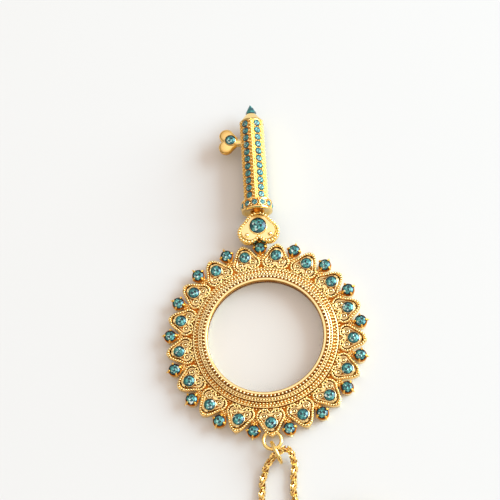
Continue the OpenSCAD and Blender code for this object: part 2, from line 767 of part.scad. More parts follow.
module clasp_end_ring() color(gold) placed() {
    at_clasp() rotate(-90) translate([end_ring_x, 0, 0]) small_ring();
}

// Clasp: a hook closed by a sprung lever
module gate(shift = 0) {
    polygon([[shift, 0], [shift - 1.48, 1.11], [shift - 0.2, 3.8], [1, 5], [4, 4], [4, 1.46]]);
}

module clasp_outline() {
    difference() {
        union() {
            difference() {
                circle(hook_r);
                gate();
            }
            polygon([[1.6, -hook_r + 0.8], [neck_end_x, -1], [neck_end_x, 1], [4.9, 1.75], [2.6, 2.2],
                     [1.6, 1]]);
        }
        circle(hook_in_r);
    }
}

module lever_outline() {
    intersection() {
        difference() {
            circle(hook_r - fit_gap);
            circle(hook_in_r + fit_gap);
        }
        gate(0.1);
    }
    polygon([[1.95, 0.75], [3.2, -0.15], [4.4, 0.2], [4.4, 0.95], [3.9, 1.5], [3.7, 2.6], [2.9, 2.9],
             [1.6, 2.45]]);
}

module clasp_body() color(gold) placed() at_clasp() {
    difference() {
        union() {
            linear_extrude(clasp_t) clasp_outline();
            translate([0, 0, (clasp_t - tongue_t) / 2]) linear_extrude(tongue_t) {
                translate([tongue_x, 0]) circle(tongue_r);
                translate([neck_end_x - 0.3, -1]) square([tongue_x - neck_end_x + 0.3, 2]);
            }
        }
        translate([0, 0, (clasp_t - slot_t) / 2])
            linear_extrude(slot_t) polygon([[1.2, -0.5], [slot_end_x - 0.3, -0.5], [slot_end_x, 0.4],
                                            [slot_end_x, 3.2], [1.2, 3.2]]);
        translate([rivet_x, rivet_y, -1]) cylinder(d = rivet_d + 2 * seat_gap, h = clasp_t + 2, $fn = 24);
        translate([tongue_x, 0, -1]) cylinder(r = tongue_hole_r, h = clasp_t + 2, $fn = 32);
    }
}

module clasp_lever() color(gold) placed() at_clasp() {
    translate([0, 0, (clasp_t - lever_t) / 2]) linear_extrude(lever_t) difference() {
        lever_outline();
        translate([rivet_x, rivet_y]) circle(d = rivet_d + 2 * fit_gap, $fn = 24);
    }
}

module clasp_spring() color(steel) placed() at_clasp() {
    translate([0, 0, (clasp_t - lever_t) / 2]) linear_extrude(lever_t)
        polygon([[slot_end_x, 1.2], [slot_end_x, 1.4], [4.6, 1.7], [4.05, 1.75], [4.05, 1.6], [4.6, 1.5]]);
}

module clasp_rivet() color(steel) placed() at_clasp() {
    translate([rivet_x, rivet_y, 0]) cylinder(d = rivet_d, h = clasp_t, $fn = 24);
}

ring_frame();
milled_band();
beaded_band();
lens();
lens_retainer();
heart_settings();
heart_stones();
claw_settings();
claw_stones();
link_heart();
link_border();
link_stone();
collar();
collar_stones();
shank();
shank_stones();
shank_cap();
tip_crystal();
bit_heart();
bit_stone();
chain_eye();
jump_ring();
chain_run();
chain_left_coil();
chain_right_coil();
chain_left_tail();
chain_right_tail();
chain_left_cap();
chain_right_cap();
clasp_end_ring();
clasp_tail_ring();
clasp_body();
clasp_lever();
clasp_spring();
clasp_rivet();
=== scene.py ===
import json
import random
from math import acos, asin, atan, atan2, cos, degrees, hypot, pi, radians, sin, sqrt

import bpy
import numpy as np
from mathutils import Matrix, Vector


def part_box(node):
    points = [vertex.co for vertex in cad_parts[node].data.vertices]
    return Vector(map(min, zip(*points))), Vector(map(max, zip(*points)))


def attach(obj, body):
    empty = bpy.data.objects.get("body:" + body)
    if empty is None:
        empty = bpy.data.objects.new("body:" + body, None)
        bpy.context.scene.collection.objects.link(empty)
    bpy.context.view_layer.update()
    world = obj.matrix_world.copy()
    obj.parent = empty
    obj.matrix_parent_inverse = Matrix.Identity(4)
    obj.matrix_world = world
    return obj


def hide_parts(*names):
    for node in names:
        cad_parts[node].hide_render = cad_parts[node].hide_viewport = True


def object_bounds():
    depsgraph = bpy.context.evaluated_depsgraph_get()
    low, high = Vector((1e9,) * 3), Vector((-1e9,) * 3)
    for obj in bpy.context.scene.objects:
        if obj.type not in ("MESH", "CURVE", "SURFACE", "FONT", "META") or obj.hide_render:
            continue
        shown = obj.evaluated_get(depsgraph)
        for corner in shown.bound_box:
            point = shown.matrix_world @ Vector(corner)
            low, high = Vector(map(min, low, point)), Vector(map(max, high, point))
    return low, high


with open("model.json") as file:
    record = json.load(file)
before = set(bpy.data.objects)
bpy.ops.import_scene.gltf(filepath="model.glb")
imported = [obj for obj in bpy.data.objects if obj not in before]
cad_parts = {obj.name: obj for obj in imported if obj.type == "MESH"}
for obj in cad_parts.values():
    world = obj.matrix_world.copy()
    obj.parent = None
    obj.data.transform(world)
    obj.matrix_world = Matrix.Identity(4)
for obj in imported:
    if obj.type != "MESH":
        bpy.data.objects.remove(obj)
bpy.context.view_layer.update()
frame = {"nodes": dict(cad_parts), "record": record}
print("frame loaded:", len(frame["nodes"]), "nodes")

mm = 0.001
lensLow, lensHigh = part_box("lens")
ringX, ringY = (lensLow.x + lensHigh.x) / 2, (lensLow.y + lensHigh.y) / 2


def inFrame(points):
    # the pieces are worked out in millimetres from the middle of the lens
    placed = np.array(points, float) * mm
    placed[:, 0] += ringX
    placed[:, 1] += ringY
    return placed


def placeObject(name, data):
    made = bpy.data.objects.new(name, data)
    bpy.context.scene.collection.objects.link(made)
    return made


# Camera: over the table, a little from the right, with the picture turned
view = {"azimuth": 9.49, "elevation": 68.32, "roll": -13.7, "distance": 327.7,
        "pixels": 500, "focalPixels": 1313, "sensor": 36, "aim": (-2.638, 23.809, 0), "clip": (0.01, 20)}


def makeCamera():
    azimuth, elevation, roll = (radians(view[k]) for k in ("azimuth", "elevation", "roll"))
    back = Vector((sin(azimuth) * cos(elevation), -cos(azimuth) * cos(elevation), sin(elevation)))
    right = Vector((cos(azimuth), sin(azimuth), 0))
    up = back.cross(right)
    across = right * cos(roll) + up * sin(roll)
    upright = up * cos(roll) - right * sin(roll)
    data = bpy.data.cameras.new("camera")
    data.sensor_width = view["sensor"]
    data.lens = view["focalPixels"] / view["pixels"] * view["sensor"]
    data.clip_start, data.clip_end = view["clip"]
    camera = placeObject("camera", data)
    aim = Vector(inFrame([view["aim"]])[0])
    camera.matrix_world = Matrix.Translation(aim + back * view["distance"] * mm) @ Matrix(
        (across, upright, back)).transposed().to_4x4()
    bpy.context.scene.camera = camera


makeCamera()
print("camera made")


# Mesh tools: points and faces are gathered for many small forms, then made into one piece.
# A wire's end stands out by a share of its radius.
forming = {"sharpAngle": 0.75, "wireEnd": 0.6}
finishes = {}


class Pad:
    def __init__(self):
        self.points, self.faces, self.shades, self.count = [], [], [], 0

    def add(self, form, place=None, shades=0.0):
        points, faces = form
        points = np.array(points, float)
        if place is not None:
            m = np.array(place, float)
            points = points @ m[:3, :3].T + m[:3, 3]
        self.points.append(points)
        self.faces.extend([tuple(k + self.count for k in face) for face in faces])
        self.shades.extend(shades if isinstance(shades, list) else [shades] * len(faces))
        self.count += len(points)

    def turn(self, profile, around, place=None):
        # each line gives radius, height and how dark the painted shade is up to there
        self.add(lathe([line[:2] for line in profile], around), place,
                 [line[2] for line in profile[1:]] * around)

    def cup(self, radius, profile, around, place):
        # a turned form whose lines give how far out they are from radius
        self.turn([(radius + out, z, dark) for out, z, dark in profile], around, place)

    def border(self, width, length, profile, place):
        # each line gives how far in, how high, and how dark the painted shade is up to there
        wall = heartWall(width, length, [line[:2] for line in profile])
        around = len(wall[1]) // (len(profile) - 1)
        self.add(wall, place, [line[2] for line in profile[1:] for _ in range(around)])

    def piece(self, name, finish, *replaced, slot="gold", smooth=True):
        mesh = bpy.data.meshes.new(name)
        mesh.from_pydata(inFrame(np.concatenate(self.points)).tolist(), [], self.faces)
        mesh.attributes.new("shade", "FLOAT", "FACE").data.foreach_set("value", self.shades)
        mesh.polygons.foreach_set("use_smooth", [smooth] * len(self.faces))
        mesh.update()
        if smooth:
            mesh.set_sharp_from_angle(angle=forming["sharpAngle"])
        made = placeObject(name, mesh)
        mesh.materials.append(finishes[finish])
        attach(made, "root")
        if replaced:
            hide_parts(*replaced)
        return made


def turned(axis, angle):
    return Matrix.Rotation(radians(angle), 4, axis)


def moved(x, y, z=0):
    return Matrix.Translation((x, y, z))


def polar(radius, angle):
    return radius * cos(angle), radius * sin(angle)


def grid(rows, around, closedRows=False):
    # quads between neighbouring rings of points
    faces = []
    for i in range(rows if closedRows else rows - 1):
        for k in range(around):
            a, b = i * around + k, i * around + (k + 1) % around
            c, d = ((i + 1) % rows) * around + (k + 1) % around, ((i + 1) % rows) * around + k
            faces.append((a, b, c, d))
    return faces


def frames(path):
    # a side and an upward direction at each point, turned as little as possible on the way
    path = np.array(path, float)
    along = np.gradient(path, axis=0)
    along /= np.linalg.norm(along, axis=1)[:, None]
    start = np.array((0, 0, 1.0)) if abs(along[0][2]) < 0.9 else np.array((1.0, 0, 0))
    side = np.cross(along[0], start)
    side /= np.linalg.norm(side)
    sides = []
    for way in along:
        side = side - way * (side @ way)
        side /= np.linalg.norm(side)
        sides.append(side)
    sides = np.array(sides)
    return path, along, sides, np.cross(sides, along)


def torusForm(radius, wire, around, sides):
    points = []
    for i in range(around):
        a = 2 * pi * i / around
        for k in range(sides):
            b = 2 * pi * k / sides
            points.append((*polar(radius + wire * cos(b), a), wire * sin(b)))
    return points, grid(around, sides, True)


def evenly(path, step):
    lengths = np.concatenate([[0], np.cumsum(np.linalg.norm(np.diff(path, axis=0), axis=1))])
    count = max(int(round(lengths[-1] / step)), 2)
    at = np.linspace(0, lengths[-1], count + 1)
    return np.stack([np.interp(at, lengths, path[:, k]) for k in range(3)], 1), lengths[-1]


def ball(rx, ry=None, rz=None, around=8, rows=5):
    # a small bead, its poles up and down
    ry, rz = ry or rx, rz or rx
    points = [(0, 0, -rz)]
    for i in range(1, rows):
        a = -pi / 2 + pi * i / rows
        for k in range(around):
            b = 2 * pi * k / around
            points.append((rx * cos(a) * cos(b), ry * cos(a) * sin(b), rz * sin(a)))
    points.append((0, 0, rz))
    faces = [(0, 1 + (k + 1) % around, 1 + k) for k in range(around)]
    faces += [tuple(1 + v for v in face) for face in grid(rows - 1, around)]
    top, last = len(points) - 1, 1 + (rows - 2) * around
    return points, faces + [(top, last + k, last + (k + 1) % around) for k in range(around)]


def lathe(profile, around):
    # a profile of (radius, height) turned round the Z axis
    points, count = [], len(profile)
    for i in range(around):
        a = 2 * pi * i / around
        points += [(*polar(r, a), z) for r, z in profile]
    faces = []
    for i in range(around):
        for k in range(count - 1):
            a, b = i * count + k, (i + 1) % around * count + k
            faces.append((a, b, b + 1, a + 1))
    return points, faces


def wire(path, radius, sides):
    # a round wire along a path, whose radius may change on the way, with pointed ends
    path, along, side, up = frames(path)
    radii = np.broadcast_to(np.array(radius, float), (len(path),))
    points = []
    for p, r, s, u in zip(path, radii, side, up):
        for k in range(sides):
            a = 2 * pi * k / sides
            points.append(p + r * (s * cos(a) + u * sin(a)))
    faces, count, last, end = grid(len(path), sides), len(points), (len(path) - 1) * sides, forming["wireEnd"]
    points += [path[0] - along[0] * radii[0] * end, path[-1] + along[-1] * radii[-1] * end]
    faces += [(count, (k + 1) % sides, k) for k in range(sides)]
    return points, faces + [(count + 1, last + k, last + (k + 1) % sides) for k in range(sides)]


def spokes(radius, z, count, shift=0.0):
    # evenly spaced points round the Z axis
    return [(*polar(radius, 2 * pi * (k + shift) / count), z) for k in range(count)]


# Lobe radius as a share of the width, bulge of the flanks, and points on a flank and on a lobe
heartShape = {"lobe": 0.27, "bulge": 0.74, "flankSteps": 10, "lobeSteps": 14}


def heartLine(width, length, inset=0):
    # a heart's outline drawn in by inset, its tip at the origin and its lobes towards +Y
    r, steps, flank = heartShape["lobe"] * width, heartShape["lobeSteps"], heartShape["flankSteps"]
    x, y = width / 2 - r, length - r
    half = atan(x / y) + asin(r / hypot(x, y))
    cleft, cleftY = acos(x / r), y + sqrt(r * r - x * x)
    tip = np.array((0, inset / sin(half)))
    first = np.array((x + (r - inset) * cos(half), y - (r - inset) * sin(half)))
    out = np.array((cos(half), -sin(half))) * heartShape["bulge"] * np.linalg.norm(first - tip)
    right = [tuple(tip + t * (first - tip) + t * (1 - t) ** 2 * out) for t in np.arange(flank) / flank]
    for k in range(steps + 1):
        a = -half + (pi - cleft + half) * k / steps
        right.append((x + (r - inset) * cos(a), y + (r - inset) * sin(a)))
    middle = [(inset * cos(a), cleftY + inset * sin(a)) for a in
              (-cleft - (pi - 2 * cleft) * k / 4 for k in (1, 2, 3))] if inset else []
    if not inset:
        right = right[:-1] + [(0, cleftY)]
        return right + [(-px, py) for px, py in reversed(right[1:-1])]
    return right + middle + [(-px, py) for px, py in reversed(right[1:])]


def heartWall(width, length, profile):
    # a raised border: the profile gives how far in from the outline each line runs, and its height
    loops = [[(px, py, z) for px, py in heartLine(width, length, inset)] for inset, z in profile]
    count = len(loops[0])
    points = [p for loop in loops for p in loop]
    return points, [tuple(reversed(face)) for face in grid(len(loops), count)]


def alongLine(line, step):
    # evenly spaced spots on a closed line, each with the way that the line runs there
    spots = evenly(np.array([(x, y, 0) for x, y in line + line[:1]], float), step)[0]
    ways = np.gradient(spots, axis=0)
    return [(spot, degrees(atan2(way[1], way[0]))) for spot, way in zip(spots[:-1], ways[:-1])]


# Finishes: node trees written as expressions
class Signal:
    def __init__(self, tree, socket):
        self.tree, self.socket = tree, socket

    def math(self, operation, a, b):
        return self.tree.add("Math", {"operation": operation}, {0: a, 1: b})

    def __add__(self, other):
        return self.math("ADD", self, other)

    def __radd__(self, other):
        return self.math("ADD", other, self)

    def __sub__(self, other):
        return self.math("SUBTRACT", self, other)

    def __rsub__(self, other):
        return self.math("SUBTRACT", other, self)

    def __mul__(self, other):
        return self.math("MULTIPLY", self, other)

    def __rmul__(self, other):
        return self.math("MULTIPLY", other, self)


class Tree:
    def __init__(self, nodeTree):
        self.nodeTree = nodeTree
        nodeTree.nodes.clear()

    def add(self, kind, settings=None, sockets=None, out=0):
        # settings go first, since some of them change the sockets
        node = self.nodeTree.nodes.new("ShaderNode" + kind)
        for key, value in (settings or {}).items():
            if key == "stops":
                ramp = node.color_ramp
                while len(ramp.elements) < len(value):
                    ramp.elements.new(1)
                for element, (place, colour) in zip(ramp.elements, value):
                    element.position, element.color = place, (*colour, 1)
            else:
                setattr(node, key, value)
        for key, value in (sockets or {}).items():
            if isinstance(value, Signal):
                self.nodeTree.links.new(value.socket, node.inputs[key])
            else:
                opaque = node.inputs[key].type == "RGBA" and len(value) == 3
                node.inputs[key].default_value = (*value, 1) if opaque else value
        return Signal(self, node.outputs[out] if node.outputs else None)

    def blend(self, share, a, b):
        return self.add("Mix", {"data_type": "RGBA"}, {0: share, 6: a, 7: b}, out=2)

    def noise(self, where, scale, detail=2):
        return self.add("TexNoise", {}, {"Vector": where, "Scale": scale, "Detail": detail})


def material(name):
    made = bpy.data.materials.new(name)
    made.use_nodes = True
    tree = Tree(made.node_tree)
    return made, tree, tree.add("TexCoord", out=3)


def surface(tree, sockets, through=None):
    shader = tree.add("BsdfPrincipled", {}, sockets)
    if through:
        share, clear = through
        shader = tree.add("MixShader", {}, {0: share, 1: shader, 2: clear})
    tree.add("OutputMaterial", {}, {"Surface": shader})


# Gold plate: pale where it is open and polished, through orange to dark brown in the recesses; the dark is
# painted shade from ambient occlusion.
# The shade attribute of a face adds more painted shade to the colour.
goldLooks = {
    "gold": {"shades": ((0.08, 0.018, 0.002), (0.74, 0.27, 0.03), (1.0, 0.64, 0.14), (1.0, 0.8, 0.39)),
             "polish": 0.2, "wear": 0.16, "grain": 0.3, "reach": 0.0005},
    "brightGold": {"shades": ((0.09, 0.02, 0.003), (0.72, 0.27, 0.03), (1.0, 0.67, 0.18), (1.0, 0.83, 0.44)),
                   "polish": 0.16, "wear": 0.12, "grain": 0.15, "reach": 0.0004},
    "castGold": {"shades": ((0.03, 0.006, 0.001), (0.55, 0.17, 0.015), (1.0, 0.57, 0.1), (1.0, 0.78, 0.33)),
                 "polish": 0.23, "wear": 0.2, "grain": 0.6, "reach": 0.0005},
    "chainGold": {"shades": ((0.03, 0.006, 0.001), (0.5, 0.14, 0.012), (0.97, 0.44, 0.06), (1.0, 0.73, 0.26)),
                  "polish": 0.14, "wear": 0.14, "grain": 0.1, "reach": 0.0008},
    "plainGold": {"shades": ((0.03, 0.006, 0.001), (0.55, 0.16, 0.014), (1.0, 0.57, 0.11), (1.0, 0.73, 0.29)),
                  "polish": 0.04, "wear": 0.07, "grain": 0.15, "reach": 0.0009}}
goldPlate = {"places": (0.0, 0.2, 0.45, 0.82), "clouds": 420, "specks": 5200, "samples": 8,
             "shut": 0.08, "open": 0.52, "mottle": 0.3, "grime": 0.25, "grainHeight": 0.00003}


def goldFinish(name):
    look, plate = goldLooks[name], goldPlate
    made, tree, where = material(name)
    clouds = tree.noise(where, plate["clouds"], 3)
    specks = tree.noise(where, plate["specks"])
    # painted shade: the face's shade attribute and ambient occlusion darken the colour
    paintedShade = tree.add("Attribute", {"attribute_name": "shade"}, out=2)
    free = tree.add("AmbientOcclusion", {"samples": plate["samples"]}, {"Distance": look["reach"]}, out=1)
    span = {"Value": free, "From Min": plate["shut"], "From Max": plate["open"]}
    lit = tree.add("MapRange", {}, span) * (1 - paintedShade)
    colour = tree.add("ValToRGB", {"stops": list(zip(plate["places"], look["shades"]))},
                      {0: lit + plate["mottle"] * (clouds - 0.5)})
    rough = look["polish"] + look["wear"] * clouds * specks + plate["grime"] * (1 - lit)
    bump = tree.add("Bump", {}, {"Strength": look["grain"], "Distance": plate["grainHeight"],
                                 "Height": specks})
    surface(tree, {"Base Color": colour, "Metallic": 1.0, "Roughness": rough, "Normal": bump})
    return made


finishes.update({name: goldFinish(name) for name in goldLooks})


# Cut stones: teal facets, each with its own painted shade, from navy through teal to a pale painted glint
stoneLooks = {"shades": [(0.0, (0.001, 0.006, 0.012)), (0.2, (0.004, 0.03, 0.055)),
                         (0.42, (0.016, 0.14, 0.15)), (0.64, (0.035, 0.25, 0.24)),
                         (0.86, (0.15, 0.52, 0.48)), (1.0, (0.85, 0.95, 0.9))],
              "metal": 0.25, "index": 1.6, "polish": 0.18, "coat": 0.15, "coatRough": 0.03,
              "clouds": 1500, "mottle": 0.1}


def stoneFinish():
    made, tree, where = material("cutStone")
    look = stoneLooks
    facet = tree.add("Attribute", {"attribute_name": "shade"}, out=2)
    cloud = tree.noise(where, look["clouds"])
    shade = tree.add("ValToRGB", {"stops": look["shades"]}, {0: facet + look["mottle"] * (cloud - 0.5)})
    surface(tree, {"Base Color": shade, "Metallic": look["metal"], "IOR": look["index"],
                   "Coat Weight": look["coat"], "Coat Roughness": look["coatRough"],
                   "Roughness": look["polish"] + look["mottle"] * cloud})
    return made


finishes["cutStone"] = stoneFinish()


# Lens glass: lamps' light goes through it, so its shadow is as pale as real glass's
glassLook = {"tint": (1.0, 1.0, 0.995), "index": 1.5, "through": (0.98, 0.965, 0.945),
             "clouds": 160, "smear": 0.012}


def glassFinish():
    made, tree, where = material("lensGlass")
    look = glassLook
    smear = tree.noise(where, look["clouds"], 3)
    shadow, bounced = tree.add("LightPath", out=1), tree.add("LightPath", out=2)
    through = tree.add("BsdfTransparent", {}, {"Color": look["through"]})
    surface(tree, {"Base Color": look["tint"], "Transmission Weight": 1.0, "IOR": look["index"],
                   "Roughness": look["smear"] * smear}, (shadow.math("MAXIMUM", shadow, bounced), through))
    return made


finishes["lensGlass"] = glassFinish()


# Steel of the clasp's spring and rivet
steelLook = {"dark": (0.42, 0.41, 0.4), "pale": (0.62, 0.61, 0.6), "brush": 3000, "polish": 0.22, "wear": 0.2}


def steelFinish():
    made, tree, where = material("springSteel")
    look = steelLook
    brush = tree.noise(where, look["brush"])
    surface(tree, {"Base Color": tree.blend(brush, look["dark"], look["pale"]), "Metallic": 1.0,
                   "Roughness": look["polish"] + look["wear"] * brush})
    return made


finishes["springSteel"] = steelFinish()
print("finishes made:", len(finishes))


# Stage: a pale table, a soft low lamp from the right and a plain room
stage = {"floorSize": 3.0, "floorDrop": 0.00002, "floor": (0.72, 0.72, 0.715), "floorMottle": 0.985,
         "floorClouds": 14, "floorRough": 0.9, "floorShine": 0.1, "lampPower": 103.0, "lampSize": 1.8,
         "lampPlace": (2.12, 0.55, 0.95), "lampColour": (0.66, 0.87, 1.0), "warmth": (1.0, 0.86, 0.76),
         "window": (0.21, 0.16, 0.96),
         "sky": ((0.0, 0.18), (0.2, 0.4), (0.5, 0.78), (0.8, 1.06), (0.95, 1.3))}


def makeStage():
    half = stage["floorSize"]
    mesh = bpy.data.meshes.new("floor")
    mesh.from_pydata([(-half, -half, 0), (half, -half, 0), (half, half, 0), (-half, half, 0)], [],
                     [(0, 1, 2, 3)])
    floor = placeObject("floor", mesh)
    floor.location.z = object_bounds()[0].z - stage["floorDrop"]
    made, tree, where = material("floorPaint")
    cloud = tree.noise(where, stage["floorClouds"])
    tone = tree.blend(cloud, tuple(c * stage["floorMottle"] for c in stage["floor"]), stage["floor"])
    surface(tree, {"Base Color": tone, "Roughness": stage["floorRough"],
                   "Specular IOR Level": stage["floorShine"]})
    mesh.materials.append(made)

    lamp = bpy.data.lights.new("lamp", "AREA")
    lamp.energy, lamp.size, lamp.color = stage["lampPower"], stage["lampSize"], stage["lampColour"]
    lampObject = placeObject("lamp", lamp)
    lampObject.location = stage["lampPlace"]
    lampObject.rotation_mode = "QUATERNION"
    lampObject.rotation_quaternion = Vector(stage["lampPlace"]).to_track_quat("Z", "Y")

    world = bpy.data.worlds.new("room")
    world.use_nodes = True
    bpy.context.scene.world = world
    tree = Tree(world.node_tree)
    toward = tree.add("TexCoord", out=0)
    height = tree.add("VectorMath", {"operation": "DOT_PRODUCT"}, {0: toward, 1: stage["window"]}, out=1)
    grey = tree.add("ValToRGB", {"stops": [
        (place, tuple(level * c for c in stage["warmth"])) for place, level in stage["sky"]]}, {0: height})
    light = tree.add("Background", {}, {"Color": grey, "Strength": 1.0})
    tree.add("OutputWorld", {}, {"Surface": light})


makeStage()
bpy.context.scene.view_settings.view_transform = "Standard"
print("stage made")


# Chain: two cords that start at the jump ring, in the part's own route
chain = {"diameter": 1.8, "linkStep": 0.46, "twist": 3.7, "linkTilt": 22, "linkWide": 0.34, "linkLong": 2.0,
         "linkWire": 0.19, "linkOut": 0.45, "core": 0.4, "coreShade": 0.8, "leastStep": 0.05}
coil = {"outRadius": 13.2, "pitch": 2.3, "rise": 2.25, "turn": 1800, "lead": 1.8, "rings": 24,
        "leftX": -15.5, "rightX": 17.5, "y": -55, "low": 0.9}
runLeft = [(0.85, -28.5, 2.7), (-0.9, -30.0, 1.9), (-2.2, -32.2, 1.1), (-3.0, -35, 0.9), (-3.3, -38.5, 0.9),
           (-3.1, -42, 0.9), (-2.7, -45, 0.9), (-2.4, -48, 0.9), (-2.3, -51, 0.9), (-2.3, -53.2, 0.9)]
runRight = [(0.85, -28.5, 2.7), (2.7, -27.7, 3.0), (4.0, -28.3, 2.6), (4.7, -30.2, 1.6), (4.6, -32.5, 1.0),
            (4.2, -35.5, 0.9), (4.2, -39, 0.9), (4.4, -43, 0.9), (4.4, -47, 0.9), (4.3, -51, 0.9),
            (4.3, -53.2, 0.9)]
tailLeft = [(-2.3, -57.7, 3.15), (-2.3, -58.6, 3.1), (-2.3, -60.6, 2.5), (-2.3, -62.6, 1.5),
            (-2.3, -64.2, 1.0)]
tailRight = [(4.3, -57.7, 3.15), (4.3, -58.8, 3.15), (4.9, -61.2, 3.1), (6.4, -64.2, 2.9),
             (8.2, -67.5, 2.2), (9.5, -71.0, 1.3), (10.0, -74.3, 0.9), (9.2, -77.2, 0.9), (7.8, -78.8, 0.9)]


def coilPoint(middleX, side, angle):
    half = coil["turn"] / 2
    radius = coil["outRadius"] - coil["pitch"] * min(angle, coil["turn"] - angle) / 360
    t = min(max((angle - half + 90) / 180, 0), 1)
    return (middleX + side * radius * cos(radians(angle)), coil["y"] - radius * sin(radians(angle)),
            coil["low"] + coil["rise"] * t * t * (3 - 2 * t))


def coilPath(middleX, side):
    steps = round(coil["turn"] / 360 * coil["rings"])
    first, last = coilPoint(middleX, side, 0), coilPoint(middleX, side, coil["turn"])
    return ([(first[0], first[1] + coil["lead"], first[2])]
            + [coilPoint(middleX, side, coil["turn"] * i / steps) for i in range(steps + 1)]
            + [(last[0], last[1] - coil["lead"], last[2])])


def smoothLine(points, steps=4):
    # a curve through the points, as the part's own tubes have it
    points = [np.array(p, float) for p in points]
    last, line = len(points) - 1, []
    for i in range(last):
        a, b, c, d = points[max(i - 1, 0)], points[i], points[i + 1], points[min(i + 2, last)]
        for k in range(steps):
            t = k / steps
            line.append(0.5 * (2 * b + (c - a) * t + (2 * a - 5 * b + 4 * c - d) * t * t
                               + (3 * b - a - 3 * c + d) * t ** 3))
    return line + [points[last]]


def chainPath(run, middleX, side, tail, capNode, capWay):
    # the tail ends where the cap begins, at the middle of the cap's wide face
    low, high = (np.array(corner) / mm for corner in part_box(capNode))
    low, high = low - (ringX / mm, ringY / mm, 0), high - (ringX / mm, ringY / mm, 0)
    way = np.array(capWay, float)
    end = np.where(way > 0, high, np.where(way < 0, low, (low + high) / 2))
    end[2] = coil["low"]
    route = smoothLine(run) + coilPath(middleX, side) + smoothLine(
        tail + [tuple(end + way * coil["lead"]), tuple(end + way * coil["lead"] / 2), tuple(end)])
    kept = [route[0]]
    for point in route[1:]:
        if np.linalg.norm(np.array(point) - kept[-1]) > chain["leastStep"]:
            kept.append(point)
    return np.array(kept, float)


def ropeChain(name, path, replaced):
    spots, length = evenly(path, chain["linkStep"])
    spots, along, sides, ups = frames(spots)
    pad = Pad()
    # long links laid on a core in two twisted rows, each link half over the last
    points, faces = torusForm(chain["linkWide"], chain["linkWire"], 10, 5)
    link = ([(x * chain["linkLong"], y, z) for x, y, z in points], faces)
    slope = atan(2 * pi * chain["linkOut"] / chain["twist"])
    tilt = radians(chain["linkTilt"])
    # painted shade: the core is painted dark, as the shade inside the rope
    pad.add(wire(spots, chain["core"], 6), None, chain["coreShade"])
    for i, (spot, way, side, up) in enumerate(zip(spots, along, sides, ups)):
        turn = 2 * pi * i * chain["linkStep"] / chain["twist"] + pi * (i % 2)
        out = side * cos(turn) + up * sin(turn)
        run = way * cos(slope) + np.cross(way, out) * sin(slope)
        normal = out * cos(tilt) + np.cross(run, out) * sin(tilt)
        place = np.eye(4)
        place[:3, 0], place[:3, 1], place[:3, 2] = run, np.cross(normal, run), normal
        place[:3, 3] = spot + out * chain["linkOut"]
        pad.add(link, place)
    made = pad.piece(name, "chainGold", *replaced, slot="chain_gold")
    inFrame([path[0]])[0]
    inFrame(path).tolist()
    print(name, round(length, 1), "mm,", len(spots), "links")


nodes = frame["nodes"]
leftPath = chainPath(runLeft, coil["leftX"], 1, tailLeft, "chain_left_cap", (0, 1, 0))
rightPath = chainPath(runRight, coil["rightX"], -1, tailRight, "chain_right_cap", (1, 0, 0))
ropeChain("chain_left", leftPath, ("chain_run", "chain_left_coil", "chain_left_tail"))
ropeChain("chain_right", rightPath, ("chain_right_coil", "chain_right_tail"))


# What stays as the part has it gets its finish here
cadFinishes = {"gold": "gold", "bright_gold": "brightGold", "chain_gold": "chainGold", "stone": "cutStone",
               "crystal": "cutStone", "lens_glass": "lensGlass", "steel": "springSteel",
               **dict.fromkeys(("chain_eye", "jump_ring", "clasp_body", "clasp_lever", "clasp_end_ring",
                                "clasp_tail_ring"), "chainGold")}


def finishNodes():
    slots = {n["node"]: n.get("material_slot") for n in frame["record"]["subparts"]}
    for name, node in nodes.items():
        if not node.hide_render:
            chosen = finishes[cadFinishes.get(name) or cadFinishes.get(slots.get(name), "gold")]
            for holder in node.material_slots:
                holder.material = chosen


# Cut stones: eight-sided table, star, kite and girdle facets over a pointed back
# light is the way the painted light comes from and lean how much paler it makes facets towards it; wedge
# paints the back's reflections on alternate wedges; kind makes star facets paler and girdle facets darker,
# under darkens the back; flashes is the chance of one painted glint
stoneCut = {"table": 0.58, "crown": 0.14, "girdle": 0.02, "back": 0.42, "middle": 0.27, "peak": 0.012,
            "ripple": (0.022, -0.016), "star": 0.8, "starHeight": 0.55, "seed": 11, "spread": 0.2,
            "base": 0.48, "lean": 0.18, "under": 0.08, "darkest": 0.02, "palest": 0.97, "flashes": 0.6,
            "light": (0.75, 0.66), "large": 3, "wedge": (0.3, 0.3, 0.24, -0.18, 0.14, 0, 0),
            "kind": (-0.06, 0, 0, 0.12, 0, -0.34, -0.34)}


